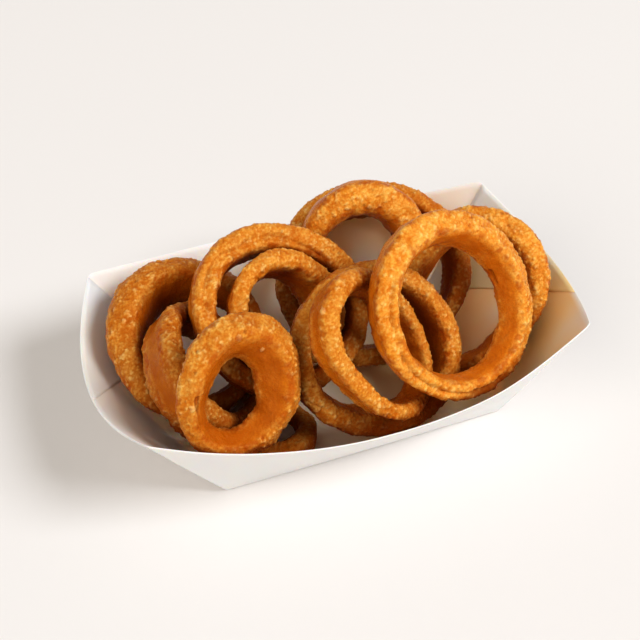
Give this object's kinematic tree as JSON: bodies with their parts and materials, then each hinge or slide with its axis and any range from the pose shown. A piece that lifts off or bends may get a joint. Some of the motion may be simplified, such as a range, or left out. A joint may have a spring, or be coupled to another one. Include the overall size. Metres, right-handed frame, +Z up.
{
  "type": "onion rings in paper tray",
  "caption": "Heap of battered, fried onion rings lying and leaning in a white folded-paper food tray with bowed sides, a dipping rim and sharp folded corners.",
  "frame": {"origin": "middle of the tray's flat underside, which is also the bottom centre of the bounding box", "axes": "+X along the tray's length towards the end where the highest rings lean, +Y to the back long side, +Z up"},
  "size_m": [0.2176, 0.138, 0.0979],
  "materials": {
    "paper": "matte",
    "crust": "rough, slightly oily"
  },
  "bodies": {
    "root": {"tray": "paper", "ring_left_back": "crust", "ring_left_middle": "crust", "ring_left_front": "crust", "ring_centre_large": "crust", "ring_centre_small": "crust", "ring_middle_front": "crust", "ring_middle_low": "crust", "ring_right_front": "crust", "ring_right_back": "crust", "ring_back_upper": "crust", "ring_back_large": "crust", "ring_bottom": "crust"}
  },
  "joints": []
}
